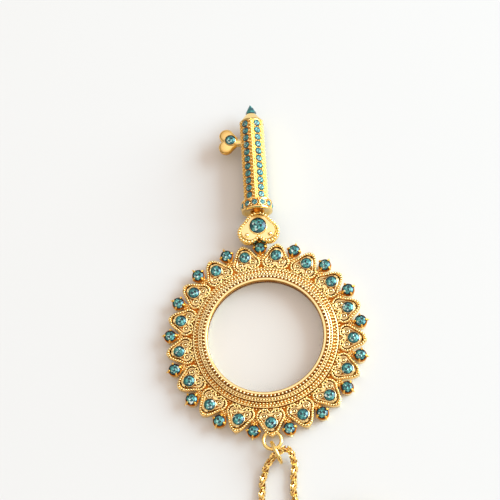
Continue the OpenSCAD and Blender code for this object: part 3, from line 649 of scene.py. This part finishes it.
def brilliant(d, chance, turn):
    # the flat table is split as its back's facets show through it
    def ring(radius, z, count, shift=0.0):
        return spokes(radius * d / 2, z * d, count, shift)

    cut, crown, girdle = stoneCut, stoneCut["crown"], stoneCut["girdle"]
    # the table's points rise and sink a little, so that its wedges catch the light one by one
    points = [(0, 0, (crown + cut["peak"]) * d)]
    points += [(x, y, z + cut["ripple"][k % 2] * d)
               for k, (x, y, z) in enumerate(ring(cut["middle"], crown, 8, 0.5))]
    points += ring(cut["table"], crown, 8) + ring(cut["star"], cut["starHeight"] * crown, 8, 0.5)
    points += ring(1, girdle, 16) + ring(1, -girdle, 16) + [(0, 0, -cut["back"] * d)]
    inner, table, middle, top, bottom, back = 1, 9, 17, 25, 41, 57
    faces = []
    for k in range(8):
        n = (k + 1) % 8
        faces += [(0, inner + k, inner + n), (table + n, inner + n, inner + k),
                  (table + k, table + n, inner + k), (table + k, middle + k, table + n),
                  (table + n, middle + k, top + (2 * n) % 16, middle + n),
                  (middle + k, top + 2 * k + 1, top + (2 * k + 2) % 16),
                  (middle + k, top + 2 * k, top + 2 * k + 1)]
    crownFacets = len(faces)
    for k in range(16):
        n = (k + 1) % 16
        faces += [(top + k, bottom + k, bottom + n, top + n), (bottom + k, back, bottom + n)]
    shades = []
    c, s = cos(turn), sin(turn)
    for index, face in enumerate(faces):
        away = np.mean([points[v] for v in face], axis=0)[:2] / (d / 2)
        # painted light: facets towards the light's way are paler, alternate wedges paler and darker as
        # painted reflections, girdle facets darker as painted shade
        toward = ((away[0] * c - away[1] * s) * cut["light"][0]
                  + (away[0] * s + away[1] * c) * cut["light"][1])
        if index < crownFacets:
            wedge, kind = divmod(index, 7)
            side = (1, -1)[(wedge if d > cut["large"] else wedge // 2) % 2]
            base = cut["base"] - cut["lean"] * toward + side * cut["wedge"][kind] + cut["kind"][kind]
        else:
            base = cut["under"]
        shade = base + chance.uniform(-1, 1) * cut["spread"]
        shades.append(min(max(shade, cut["darkest"]), cut["palest"]))
    # painted glint: one crown facet may be made palest
    if chance.random() < cut["flashes"]:
        shades[chance.randrange(crownFacets)] = 1.0
    return (points, faces), shades


def stones(name, node, places, d, slot="stone"):
    chance = random.Random(stoneCut["seed"] + len(places) + int(100 * d))
    pad = Pad()
    for place in places:
        turn = atan2(place[1][0], place[0][0])
        form, shades = brilliant(d, chance, turn)
        pad.add(form, place, shades)
    pad.piece(name, "cutStone", node, slot=slot, smooth=False)
    print(name, len(places), "stones")


# The ring of hearts, in millimetres from the middle of the lens
rowStep = 0.87  # rows of beads lie this far apart, as a share of the step between beads
ringHearts = {"count": 17, "tipRadius": 24.35, "width": 6.9, "length": 6.7, "plate": 2.0, "stone": 2.6,
              "stoneIn": 3.2, "stoneUp": 0.75, "grainStep": 0.6, "grain": 0.54, "grainIn": 0.27,
              "grainUp": 0.62, "bead": 0.66, "beadUp": 0.34, "ground": 0.16, "groundIn": 1.05,
              "groundDark": 0.85, "speck": 0.46, "speckStep": 0.52, "speckIn": 1.1, "speckUp": 0.32,
              "speckSpan": 8, "clear": 0.1, "scroll": (0.62, 0.16, 0.42),
              "crumbs": ((17.95, 0.62, 0.0), (18.5, 0.54, 0.5)), "crumbHeight": (0.28, 0.6), "crumbStep": 1.3,
              "cupWall": 0.3, "cup": ((0, 0, 0), (-0.02, 0.6, 0.3), (-0.07, 0.82, 0), (-0.15, 0.86, 0),
                                      (-0.24, 0.78, 0.2), (-0.28, 0.62, 0.8), (-0.28, 0.3, 1))}
claws = {"radius": 23.2, "stone": 2.55, "stoneUp": 0.85, "wire": 0.27, "dark": 0.55,
         "point": (0.19, 0.5, 0.19), "pointOut": 1.78, "pointUp": 0.6, "pointDark": 0.15,
         "cup": ((0.95, 0, 0), (1.1, 0.25, 0.7), (1.34, 0.55, 0.5), (1.47, 0.72, 0.4), (1.47, 0.8, 0.5),
                 (1.42, 0.84, 0.9), (1.3, 0.8, 1), (1.28, 0.5, 1)),
         "floor": ((1.59, 0.025), (0.9, 0.025)), "floorDark": 0.75,
         # how far out, how high and how thick each claw is on its way up
         "claw": ((1.45, 0, 0.95), (1.57, 0.35, 1), (1.59, 0.75, 1), (1.52, 1.05, 0.95), (1.35, 1.25, 0.85),
                  (1.17, 1.32, 0.7))}
pitch = 360 / ringHearts["count"]


def roundLens(radius, first=0.0, z=0.0):
    return [turned("Z", first + i * pitch) @ moved(0, radius, z) for i in range(ringHearts["count"])]


def heartPlaces():
    return [place @ turned("Z", 180)
            for place in roundLens(ringHearts["tipRadius"], pitch / 2, ringHearts["plate"])]


def clawPlaces():
    return roundLens(claws["radius"], 0, ringHearts["plate"])


# the border of a ring heart, from outside to inside; its third values paint shade on the walls, the top and
# the groove
borderProfile = [(0.0, 0.0, 0), (0.0, 0.48, 0.65), (0.08, 0.54, 0.4), (0.46, 0.54, 0.4), (0.52, 0.3, 0.7),
                 (0.74, 0.28, 0.8), (0.76, 0.5, 0.3), (0.82, 0.64, 0), (0.9, 0.68, 0), (0.98, 0.64, 0),
                 (1.04, 0.5, 0.2), (1.06, 0.2, 0.7)]


def within(line, x, y, margin):
    # true where a point lies inside a closed line or nearer to it than margin
    crossings = 0
    for (ax, ay), (bx, by) in zip(line, line[1:] + line[:1]):
        if hypot(x - ax, y - ay) < margin:
            return True
        if (ay > y) != (by > y) and x < ax + (bx - ax) * (y - ay) / (by - ay):
            crossings += 1
    return crossings % 2 == 1


def heartSettings():
    look, pad = ringHearts, Pad()
    width, length = look["width"], look["length"]
    # a sheet painted dark inside each heart: painted shade under the specks
    ground = [(x, y, look["ground"]) for x, y in heartLine(width, length, look["groundIn"])]
    grains = alongLine(heartLine(width, length, look["grainIn"]), look["grainStep"])
    cupOut, lobe = look["stone"] / 2 + look["cupWall"], heartShape["lobe"] * width
    lobeX, lobeY = width / 2 - lobe, length - lobe
    scroll, scrollWire, scrollUp = look["scroll"]
    inner, step, clear = heartLine(width, length, look["speckIn"]), look["speckStep"], look["clear"]
    specks = []
    for row in range(int(length / (rowStep * step))):
        for k in range(-look["speckSpan"], look["speckSpan"] + 1):
            x, y = (k + 0.5 * (row % 2)) * step, row * rowStep * step
            if (within(inner, x, y, clear) and hypot(x, y - look["stoneIn"]) > cupOut + clear
                    and hypot(abs(x) - lobeX, y - lobeY) > scroll + 2 * clear):
                specks.append((x, y))
    for place in heartPlaces():
        pad.border(width, length, borderProfile, place)
        pad.add((ground, [tuple(range(len(ground)))]), place, look["groundDark"])
        for spot, _ in grains:
            pad.add(ball(look["grain"] / 2), place @ moved(spot[0], spot[1], look["grainUp"]))
        # painted shade: the stone cup's inner wall is painted dark round the stone
        pad.cup(cupOut, look["cup"], 28, place @ moved(0, look["stoneIn"]))
        for side in (-1, 1):
            mid = place @ moved(side * lobeX, lobeY)
            pad.add(ball(look["bead"] / 2, around=12, rows=8), mid @ moved(0, 0, look["beadUp"]))
            pad.add(torusForm(scroll, scrollWire, 20, 8), mid @ moved(0, 0, scrollUp))
        for x, y in specks:
            pad.add(ball(look["speck"] / 2), place @ moved(x, y, look["speckUp"]))
    pad.piece("heart_borders", "gold", "heart_settings")


def clawSettings():
    look, pad = claws, Pad()
    claw = wire([(out, 0, z) for out, z, _ in look["claw"]],
                [look["wire"] * share for _, _, share in look["claw"]], 8)
    for place in clawPlaces():
        # painted shade: the cup's walls and rim, a disc on the plate round it and the claws are painted dark,
        # the points a little
        pad.turn(look["cup"], 28, place)
        pad.add(lathe(look["floor"], 28), place, look["floorDark"])
        for a in (0, 90, 180, 270):
            pad.add(claw, place @ turned("Z", a), look["dark"])
    # the first claw cup lies under the heart link and has no point
    for place in clawPlaces()[1:]:
        pad.add(ball(*look["point"]), place @ moved(0, look["pointOut"], look["pointUp"]), look["pointDark"])
    pad.piece("claw_cups", "castGold", "claw_settings")


# Round the lens: a smooth lip with notches, a rail and rows of beads. Each profile line gives
# radius, height and how dark the painted shade is up to there, on walls and in gaps.
bands = {"lip": ((13.985, 3.3, 0), (13.985, 4.0, 0.8), (14.05, 4.14, 0.75), (14.16, 4.23, 0.55),
                 (14.36, 4.27, 0), (14.62, 4.25, 0), (14.68, 4.215, 0.85), (15.12, 4.215, 0.95),
                 (15.13, 4.1, 0.8), (15.13, 3.4, 0.8)),
         "notch": (102, 14.98, 0.33, 0.26, 0.2, 4.24),
         "rail": (15.46, 0.17, 3.86), "thinRail": (16.14, 0.11, 3.62), "outerRail": (17.47, 0.13, 2.92),
         "milled": ((15.12, 3.4, 0), (15.2, 3.6, 0.9), (16.1, 3.5, 0.7), (16.2, 3.4, 0.7)),
         "beaded": ((16.25, 2.0, 0), (16.25, 2.8, 0.3), (16.3, 2.84, 0.6), (16.9, 2.8, 0.75),
                    (17.34, 2.74, 0.75), (17.5, 2.74, 0.2), (17.55, 2.6, 0.2), (17.55, 2.0, 0.4)),
         "topRow": (15.84, 0.54, 3.66, 0.5), "rows": ((16.6, 0.68, 2.98, 0.0), (17.16, 0.6, 2.96, 0.5)),
         "spread": 1.26, "around": 180}


def beadRow(pad, radius, size, z, shift):
    count = int(2 * pi * radius / (size * bands["spread"]))
    for i in range(count):
        pad.add(ball(size / 2, rows=6), turned("Z", 360 * (i + shift) / count) @ moved(radius, 0, z))


def rail(pad, radius, size, z):
    pad.add(torusForm(radius, size, bands["around"], 8), moved(0, 0, z))


def roundTheLens():
    pad = Pad()
    pad.turn(bands["beaded"], bands["around"])
    for row in bands["rows"]:
        beadRow(pad, *row)
    rail(pad, *bands["outerRail"])
    pad.piece("grain_band", "gold", "beaded_band")

    pad = Pad()
    pad.turn(bands["milled"], bands["around"])
    rail(pad, *bands["rail"])
    rail(pad, *bands["thinRail"])
    beadRow(pad, *bands["topRow"])
    pad.piece("ribbed_band", "brightGold", "milled_band", slot="bright_gold")

    pad = Pad()
    pad.turn(bands["lip"], bands["around"])
    count, radius, long_, wide, high, z = bands["notch"]
    rib = ball(long_, wide, high, 8, 6)
    for i in range(count):
        pad.add(rib, turned("Z", 360 * i / count) @ moved(radius, 0, z))
    pad.piece("lens_lip_ribs", "brightGold", slot="bright_gold")


def insideHeart(x, y, margin):
    # true where a point of the plate lies under a heart or too near its border
    line = heartLine(ringHearts["width"], ringHearts["length"])
    for place in heartPlaces():
        near = place.inverted() @ Vector((x, y, 0))
        if near.length < 2 * ringHearts["length"] and within(line, near.x, near.y, margin):
            return True
    return False


plateGrains = {"size": 0.6, "step": 0.68, "ground": (17.56, 20.1), "inside": 17.85, "outside": 20.05,
               "neck": ((0, 20.35), (-0.42, 20.72), (0.42, 20.72), (0, 21.0), (-0.42, 21.4), (0.42, 21.4),
                        (0, 21.6)), "neckGround": (0.79, 19.95, 21.95), "depth": 2.3, "seed": 5,
               "groundUp": 0.02, "grainUp": 0.05, "groundDark": 0.8, "neckDark": 0.7, "sizes": (0.42, 0.52),
               "clear": 0.02}


def plateBeads():
    # the plate between the hearts is full of fine beads, over sheets painted dark as shade
    look, pad, chance = plateGrains, Pad(), random.Random(plateGrains["seed"])
    low, spots = ringHearts["plate"] + look["groundUp"], []
    pad.add(lathe([(look["ground"][1], low), (look["ground"][0], low)], bands["around"]), None,
            look["groundDark"])
    for row in range(int(look["depth"] / (look["step"] * rowStep))):
        radius = look["inside"] + row * look["step"] * rowStep
        count = int(2 * radians(pitch / 2) * radius / look["step"])
        for k in range(-count, count + 1):
            a = (k + 0.5 * (row % 2)) * look["step"] / radius
            y, x = polar(radius, a)
            if (abs(a) < radians(pitch / 2) and radius < look["outside"]
                    and not insideHeart(x, y, look["size"] / 2 + look["clear"])):
                spots.append((x, y))
    spots = [(x, y, look["grainUp"]) for x, y in spots + list(look["neck"])]
    # crumbs of gold cover the inner ends of the hearts
    for radius, size, shift in ringHearts["crumbs"]:
        count = int(radians(pitch) * radius / (size * ringHearts["crumbStep"]))
        for k in range(count):
            a = radians(pitch) * ((k + shift) / count - 0.5)
            y, x = polar(radius, a)
            covered = insideHeart(x, y, ringHearts["clear"])
            if covered or radius == ringHearts["crumbs"][0][0]:
                spots.append((x, y, ringHearts["crumbHeight"][covered]))
    # painted shade: a dark sheet down the neck between two hearts
    half, near, far = look["neckGround"]
    neck = [(-half, near, low), (half, near, low), (half, far, low), (-half, far, low)]
    for turn in roundLens(0):
        pad.add((neck, [(0, 1, 2, 3)]), turn, look["neckDark"])
        for x, y, z in spots:
            size = look["size"] * chance.uniform(*look["sizes"])
            pad.add(ball(size), turn @ moved(x, y, ringHearts["plate"] + z))
    pad.piece("plate_grains", "castGold")
    print("plate_grains", len(spots) * ringHearts["count"], "beads")


heartSettings()
clawSettings()
roundTheLens()
plateBeads()
stones("heart_cut_stones", "heart_stones",
       [p @ moved(0, ringHearts["stoneIn"], ringHearts["stoneUp"]) for p in heartPlaces()],
       ringHearts["stone"])
stones("claw_cut_stones", "claw_stones",
       [p @ moved(0, 0, claws["stoneUp"]) for p in clawPlaces()], claws["stone"])
print("ring dressed")


# The heart between ring and collar: a smooth domed plate with a notched rope border
link = {"tipY": 32.223, "width": 10.4, "length": 8.4, "cut": 0.22, "low": 3.0, "thick": 1.3, "stoneY": 28.123,
        "stone": 3.9, "stoneUp": 0.7, "beadX": 2.872, "beadY": 25.901, "bead": 1.1, "beadUp": 0.42,
        "foot": (0.58, 0.07, -0.05), "footDark": 0.6, "notch": (0.3, 0.4, 0.3), "notchStep": 0.74,
        "notchIn": 0.33, "notchUp": 0.36, "notchFrom": 0.45,
        "dome": ((1.0, 0), (0.99, 1.15), (0.985, 1.2), (0.83, 1.3), (0.8, 1.62), (0.62, 1.68), (0.36, 1.72)),
        "cup": ((0.34, 0.3, 0), (0.36, 0.5, 0), (0.3, 0.74, 0), (0.22, 0.86, 0), (0.12, 0.88, 0.3),
                (0.03, 0.78, 1), (0.02, 0.4, 1)),
        "border": ((0.0, 0.0, 0), (0.0, 0.3, 0.2), (0.1, 0.36, 0.5), (0.6, 0.36, 0.5), (0.68, 0.2, 0.4),
                   (0.84, 0.16, 0.55), (0.86, 0.0, 0.55))}


def linkPlace(z):
    return moved(0, link["tipY"], z) @ turned("Z", 180)


def linkPieces():
    look, pad = link, Pad()
    top, middle = look["low"] + look["thick"], look["tipY"] - look["stoneY"]
    outer = [p for p in heartLine(look["width"], look["length"]) if p[1] > look["cut"]]
    points = [(x * share, middle + (y - middle) * share, z) for share, z in look["dome"] for x, y in outer]
    faces = [tuple(reversed(face)) for face in grid(len(look["dome"]), len(outer))]
    faces.append(tuple(range(len(points) - len(outer), len(points)))[::-1])
    pad.add((points, faces), linkPlace(look["low"]))
    # painted shade: the stone cup's inner wall is painted dark
    pad.cup(look["stone"] / 2, look["cup"], 48, moved(0, look["stoneY"], top))
    foot, footWire, footUp = look["foot"]
    for side in (-1, 1):
        mid = moved(side * look["beadX"], look["beadY"], top + look["beadUp"])
        pad.add(ball(look["bead"] / 2, around=16, rows=10), mid)
        # painted shade: a dark ring round the foot of each bead
        pad.add(torusForm(foot, footWire, 20, 6), mid @ moved(0, 0, footUp), look["footDark"])
    pad.piece("link_plate", "brightGold", "link_heart", slot="bright_gold")

    pad = Pad()
    # painted shade: the border's walls and groove are painted darker
    pad.border(look["width"], look["length"], look["border"], linkPlace(top))
    notch = ball(*look["notch"], 8, 6)
    line = heartLine(look["width"], look["length"], look["notchIn"])
    for spot, way in alongLine(line, look["notchStep"]):
        if spot[1] > look["notchFrom"]:
            pad.add(notch, linkPlace(top + look["notchUp"]) @ moved(spot[0], spot[1]) @ turned("Z", way))
    pad.piece("link_rope_border", "gold", "link_border")
    stones("link_cut_stone", "link_stone", [moved(0, look["stoneY"], top + look["stoneUp"])], look["stone"])


linkPieces()


# Collar: a ring of small stones between two thin rims
axisZ = 4.05
collarLook = {"y": 32.003, "length": 2.8, "band": 3.8, "stones": 12, "stone": 1.45, "turn": -4,
              "ring": ((0.3, 0.12, 0), (2.9, 0.12, 0.35), (3.1, 0.0, 0.5), (3.5, 0.0, 0.2), (3.83, 0.12, 0.2),
                       (3.87, 0.26, 0), (3.82, 0.44, 0), (3.5, 0.58, 0.4), (3.38, 0.8, 0.7), (3.38, 2.0, 0.7),
                       (3.5, 2.24, 0.7), (3.82, 2.38, 0.4), (3.87, 2.54, 0), (3.82, 2.7, 0), (3.67, 2.8, 0),
                       (2.45, 2.8, 0.5)),
              "seat": ((0.83, -0.45), (0.85, -0.05), (0.8, 0.04), (0.745, 0.04), (0.73, -0.2)),
              "bead": 0.27, "beadIn": 0.12, "beadAside": 0.62}


def onAxis(y):
    return moved(0, y, axisZ) @ turned("X", -90)


def collarPieces():
    look, pad, axis = collarLook, Pad(), onAxis(collarLook["y"])
    band, middle, count = look["band"], look["length"] / 2, look["stones"]
    # painted shade: the ring's end face and its band between the rims are painted darker
    pad.turn(look["ring"], 72, axis)
    places = [axis @ turned("Z", look["turn"] + 360 * i / count) @ moved(0, band, middle) @ turned("X", -90)
              for i in range(count)]
    for i, place in enumerate(places):
        pad.add(lathe(look["seat"], 20), place)
        between = axis @ turned("Z", look["turn"] + 360 * (i + 0.5) / count)
        for aside in (-look["beadAside"], look["beadAside"]):
            pad.add(ball(look["bead"]), between @ moved(0, band - look["beadIn"], middle + aside))
    pad.piece("collar_ring", "plainGold", "collar")
    stones("collar_cut_stones", "collar_stones", places, look["stone"])


collarPieces()


# Shank: six-sided, with a rail on each edge and beads beside each stone
shankLook = {"y": 34.803, "length": 21.8, "flats": 5.9, "stones": 11, "stone": 1.75, "stoneUp": 0.05,
             "margin": 1.02, "pitch": 1.976, "faces": (60, 120, 240, 300), "bodyIn": 0.05, "railIn": 0.2,
             "rail": 0.13, "railDark": 0.8, "edgeBead": (0.25, 0.25, 0.36), "bead": 0.46, "beadAside": 0.66,
             "rowBead": (0.24, 0.21, 0.2), "rowAside": 1.2, "beadUp": 0.02, "ends": 0.2,
             "railEnds": 0.1, "shades": [0.6, 0.6, 0.1, 0.6, 0.6, 0.1, 0.3, 0.3],
             "seat": ((0.95, -0.1, 0), (0.96, 0.02, 0.4), (0.93, 0.07, 0.3), (0.89, 0.05, 0.9),
                      (0.885, -0.2, 1))}
cornerRadius = shankLook["flats"] / 2 / cos(pi / 6)


def faceSpot(angle, along, across, out=0.0):
    # a spot on the flat of the shank that looks towards angle
    spot = moved(shankLook["flats"] / 2 + out, across, along)
    return onAxis(shankLook["y"]) @ turned("Z", -angle) @ spot @ turned("Y", 90)


def shankPieces():
    look, pad, axis = shankLook, Pad(), onAxis(shankLook["y"])
    count, pitch_, up = look["stones"], look["pitch"], look["beadUp"]
    angles = [radians(30 + 60 * k) for k in range(6)]
    body, edge = cornerRadius - look["bodyIn"], cornerRadius - look["railIn"]
    points = [(*polar(body, a), z) for z in (0.0, look["length"]) for a in angles]
    # painted shade: the flats that hold stones, the ends, the rails and the stone seats are painted darker
    # than the plain flats
    pad.add((points, grid(2, 6) + [(5, 4, 3, 2, 1, 0), (6, 7, 8, 9, 10, 11)]), axis, look["shades"])
    heights = (look["railEnds"], look["length"] / 2, look["length"] - look["railEnds"])
    for a in angles:
        x, y = polar(edge, a)
        pad.add(wire([(x, y, z) for z in heights], look["rail"], 10), axis, look["railDark"])
        for i in range(2 * count):
            pad.add(ball(*look["edgeBead"], 8, 6),
                    axis @ moved(x, y, look["margin"] + (i - 0.5) * pitch_ / 2))
    for angle in look["faces"]:
        for side in (-1, 1):
            for k in range(2 * count):
                pad.add(ball(*look["rowBead"]), faceSpot(angle, look["margin"] + (k - 0.25) * pitch_ / 2,
                                                         side * look["rowAside"], up) @ turned("Z", 90))
        for i in range(count):
            pad.turn(look["seat"], 20, faceSpot(angle, look["margin"] + i * pitch_, 0))
        for i in range(count + 1):
            along = look["margin"] + (i - 0.5) * pitch_
            for side in (-1, 1):
                if look["ends"] < along < look["length"] - look["ends"]:
                    pad.add(ball(look["bead"] / 2), faceSpot(angle, along, side * look["beadAside"], up))
    pad.piece("shank_body", "castGold", "shank")
    stones("shank_cut_stones", "shank_stones",
           [faceSpot(angle, look["margin"] + i * pitch_, 0, look["stoneUp"])
            for angle in look["faces"] for i in range(count)], look["stone"])


shankPieces()


# Cap and crystal: the shank narrows from six sides to a round seat for a pointed stone
capLook = {"y": 56.603, "length": 2.4, "topRadius": 1.45, "rows": 9, "around": 48, "curve": 0.92,
           "rim": (1.35, 0.12, 2.35), "lid": ((1.4, 2.38), (0.2, 2.3)),
           "crystalY": 59.003, "crystal": 2.7, "crystalLength": 3.1, "lean": -0.05,
           # how far out, how high and how turned each ring of the crystal's corners is
           "rings": ((0.4, 0.0, 0), (0.5, 0.12, 0), (0.48, 0.3, 0), (0.27, 0.64, 0.5)),
           "shade": 0.36, "spread": 0.4, "darkest": 0.03, "palest": 0.9}


def capPieces():
    look, pad, axis = capLook, Pad(), onAxis(capLook["y"])
    points, top = [], look["topRadius"]
    for i in range(look["rows"]):
        t = i / (look["rows"] - 1)
        for k in range(look["around"]):
            a = 2 * pi * k / look["around"]
            flat = shankLook["flats"] / 2 / cos(radians(degrees(a) % 60 - 30))
            cone = cornerRadius + (top - cornerRadius) * t ** look["curve"]
            points.append((*polar(min(flat, cone) if i else flat, a), look["length"] * t))
    pad.add((points, grid(look["rows"], look["around"])), axis @ turned("Z", 30))
    rim, rimWire, rimUp = look["rim"]
    pad.add(torusForm(rim, rimWire, 32, 8), axis @ moved(0, 0, rimUp))
    pad.add(lathe(look["lid"], 32), axis)
    pad.piece("cap_cone", "plainGold", "shank_cap")

    chance, d, long_ = random.Random(stoneCut["seed"]), look["crystal"], look["crystalLength"]
    points = [p for out, z, shift in look["rings"] for p in spokes(out * d, z * long_, 8, shift)]
    points.append((look["lean"] * d, 0, long_))
    faces = grid(3, 8)
    for k in range(8):
        n = (k + 1) % 8
        faces += [(16 + k, 16 + n, 24 + k), (24 + k, 16 + n, 24 + n), (24 + k, 24 + n, 32)]
    shades = [look["shade"] + look["spread"] * chance.uniform(-1, 1) for _ in faces]
    shades = [min(max(shade, look["darkest"]), look["palest"]) for shade in shades]
    pad = Pad()
    pad.add((points, faces), onAxis(look["crystalY"]), shades)
    pad.piece("tip_cut_crystal", "cutStone", "tip_crystal", slot="crystal", smooth=False)


capPieces()


# Heart bit: a smooth heart, domed on both sides, that stands out from the shank
bitLook = {"x": -3.7, "y": 51.803, "turn": 84.9, "width": 6.7, "length": 4.85, "stone": 2.5, "stoneIn": 1.85,
           "stoneUp": 1.4, "middle": 0.25,
           # the dome from its edge to its middle: share of the outline and height
           "dome": ((1.0, 0.52), (0.93, 0.78), (0.8, 0.98), (0.6, 1.14), (0.4, 1.22), (0.2, 1.26),
                    (0.02, 1.27)),
           "edge": (0.0, 0.0, 0.1, 0.2, 0.35, 0.5, 0.6, 0.5, 0.35, 0.2, 0.1, 0.0, 0.0),
           "cup": ((0.32, 0.6, 0), (0.3, 1.25, 0.3), (0.22, 1.42, 0), (0.1, 1.48, 0), (0.04, 1.4, 0.8),
                   (0.03, 1.0, 1)),
           "neck": 0.95, "neckLine": ((-2.9, 51.553), (-3.4, 51.553), (-4.1, 51.6)),
           "neckSizes": (1.05, 1, 1.1)}


def bitPieces():
    look, pad = bitLook, Pad()
    place = moved(look["x"], look["y"], axisZ) @ turned("Z", look["turn"])
    line, middle = heartLine(look["width"], look["length"]), look["stoneIn"] + look["middle"]
    levels = look["dome"][::-1] + tuple((share, -z) for share, z in look["dome"])
    points = [(x * share, middle + (y - middle) * share, z) for share, z in levels for x, y in line]
    # painted shade: the dome is painted darker towards its rim, as is the stone cup's inner wall
    pad.add((points, grid(len(levels), len(line))), place, [shade for shade in look["edge"] for _ in line])
    pad.cup(look["stone"] / 2, look["cup"], 40, place @ moved(0, look["stoneIn"]))
    pad.add(wire([(x, y, axisZ) for x, y in look["neckLine"]],
                 [look["neck"] * share for share in look["neckSizes"]], 20))
    pad.piece("bit_smooth_heart", "plainGold", "bit_heart")
    stones("bit_cut_stone", "bit_stone", [place @ moved(0, look["stoneIn"], look["stoneUp"])], look["stone"])


bitPieces()
print("shank dressed")


finishNodes()
print("finished CAD pieces have their finish")
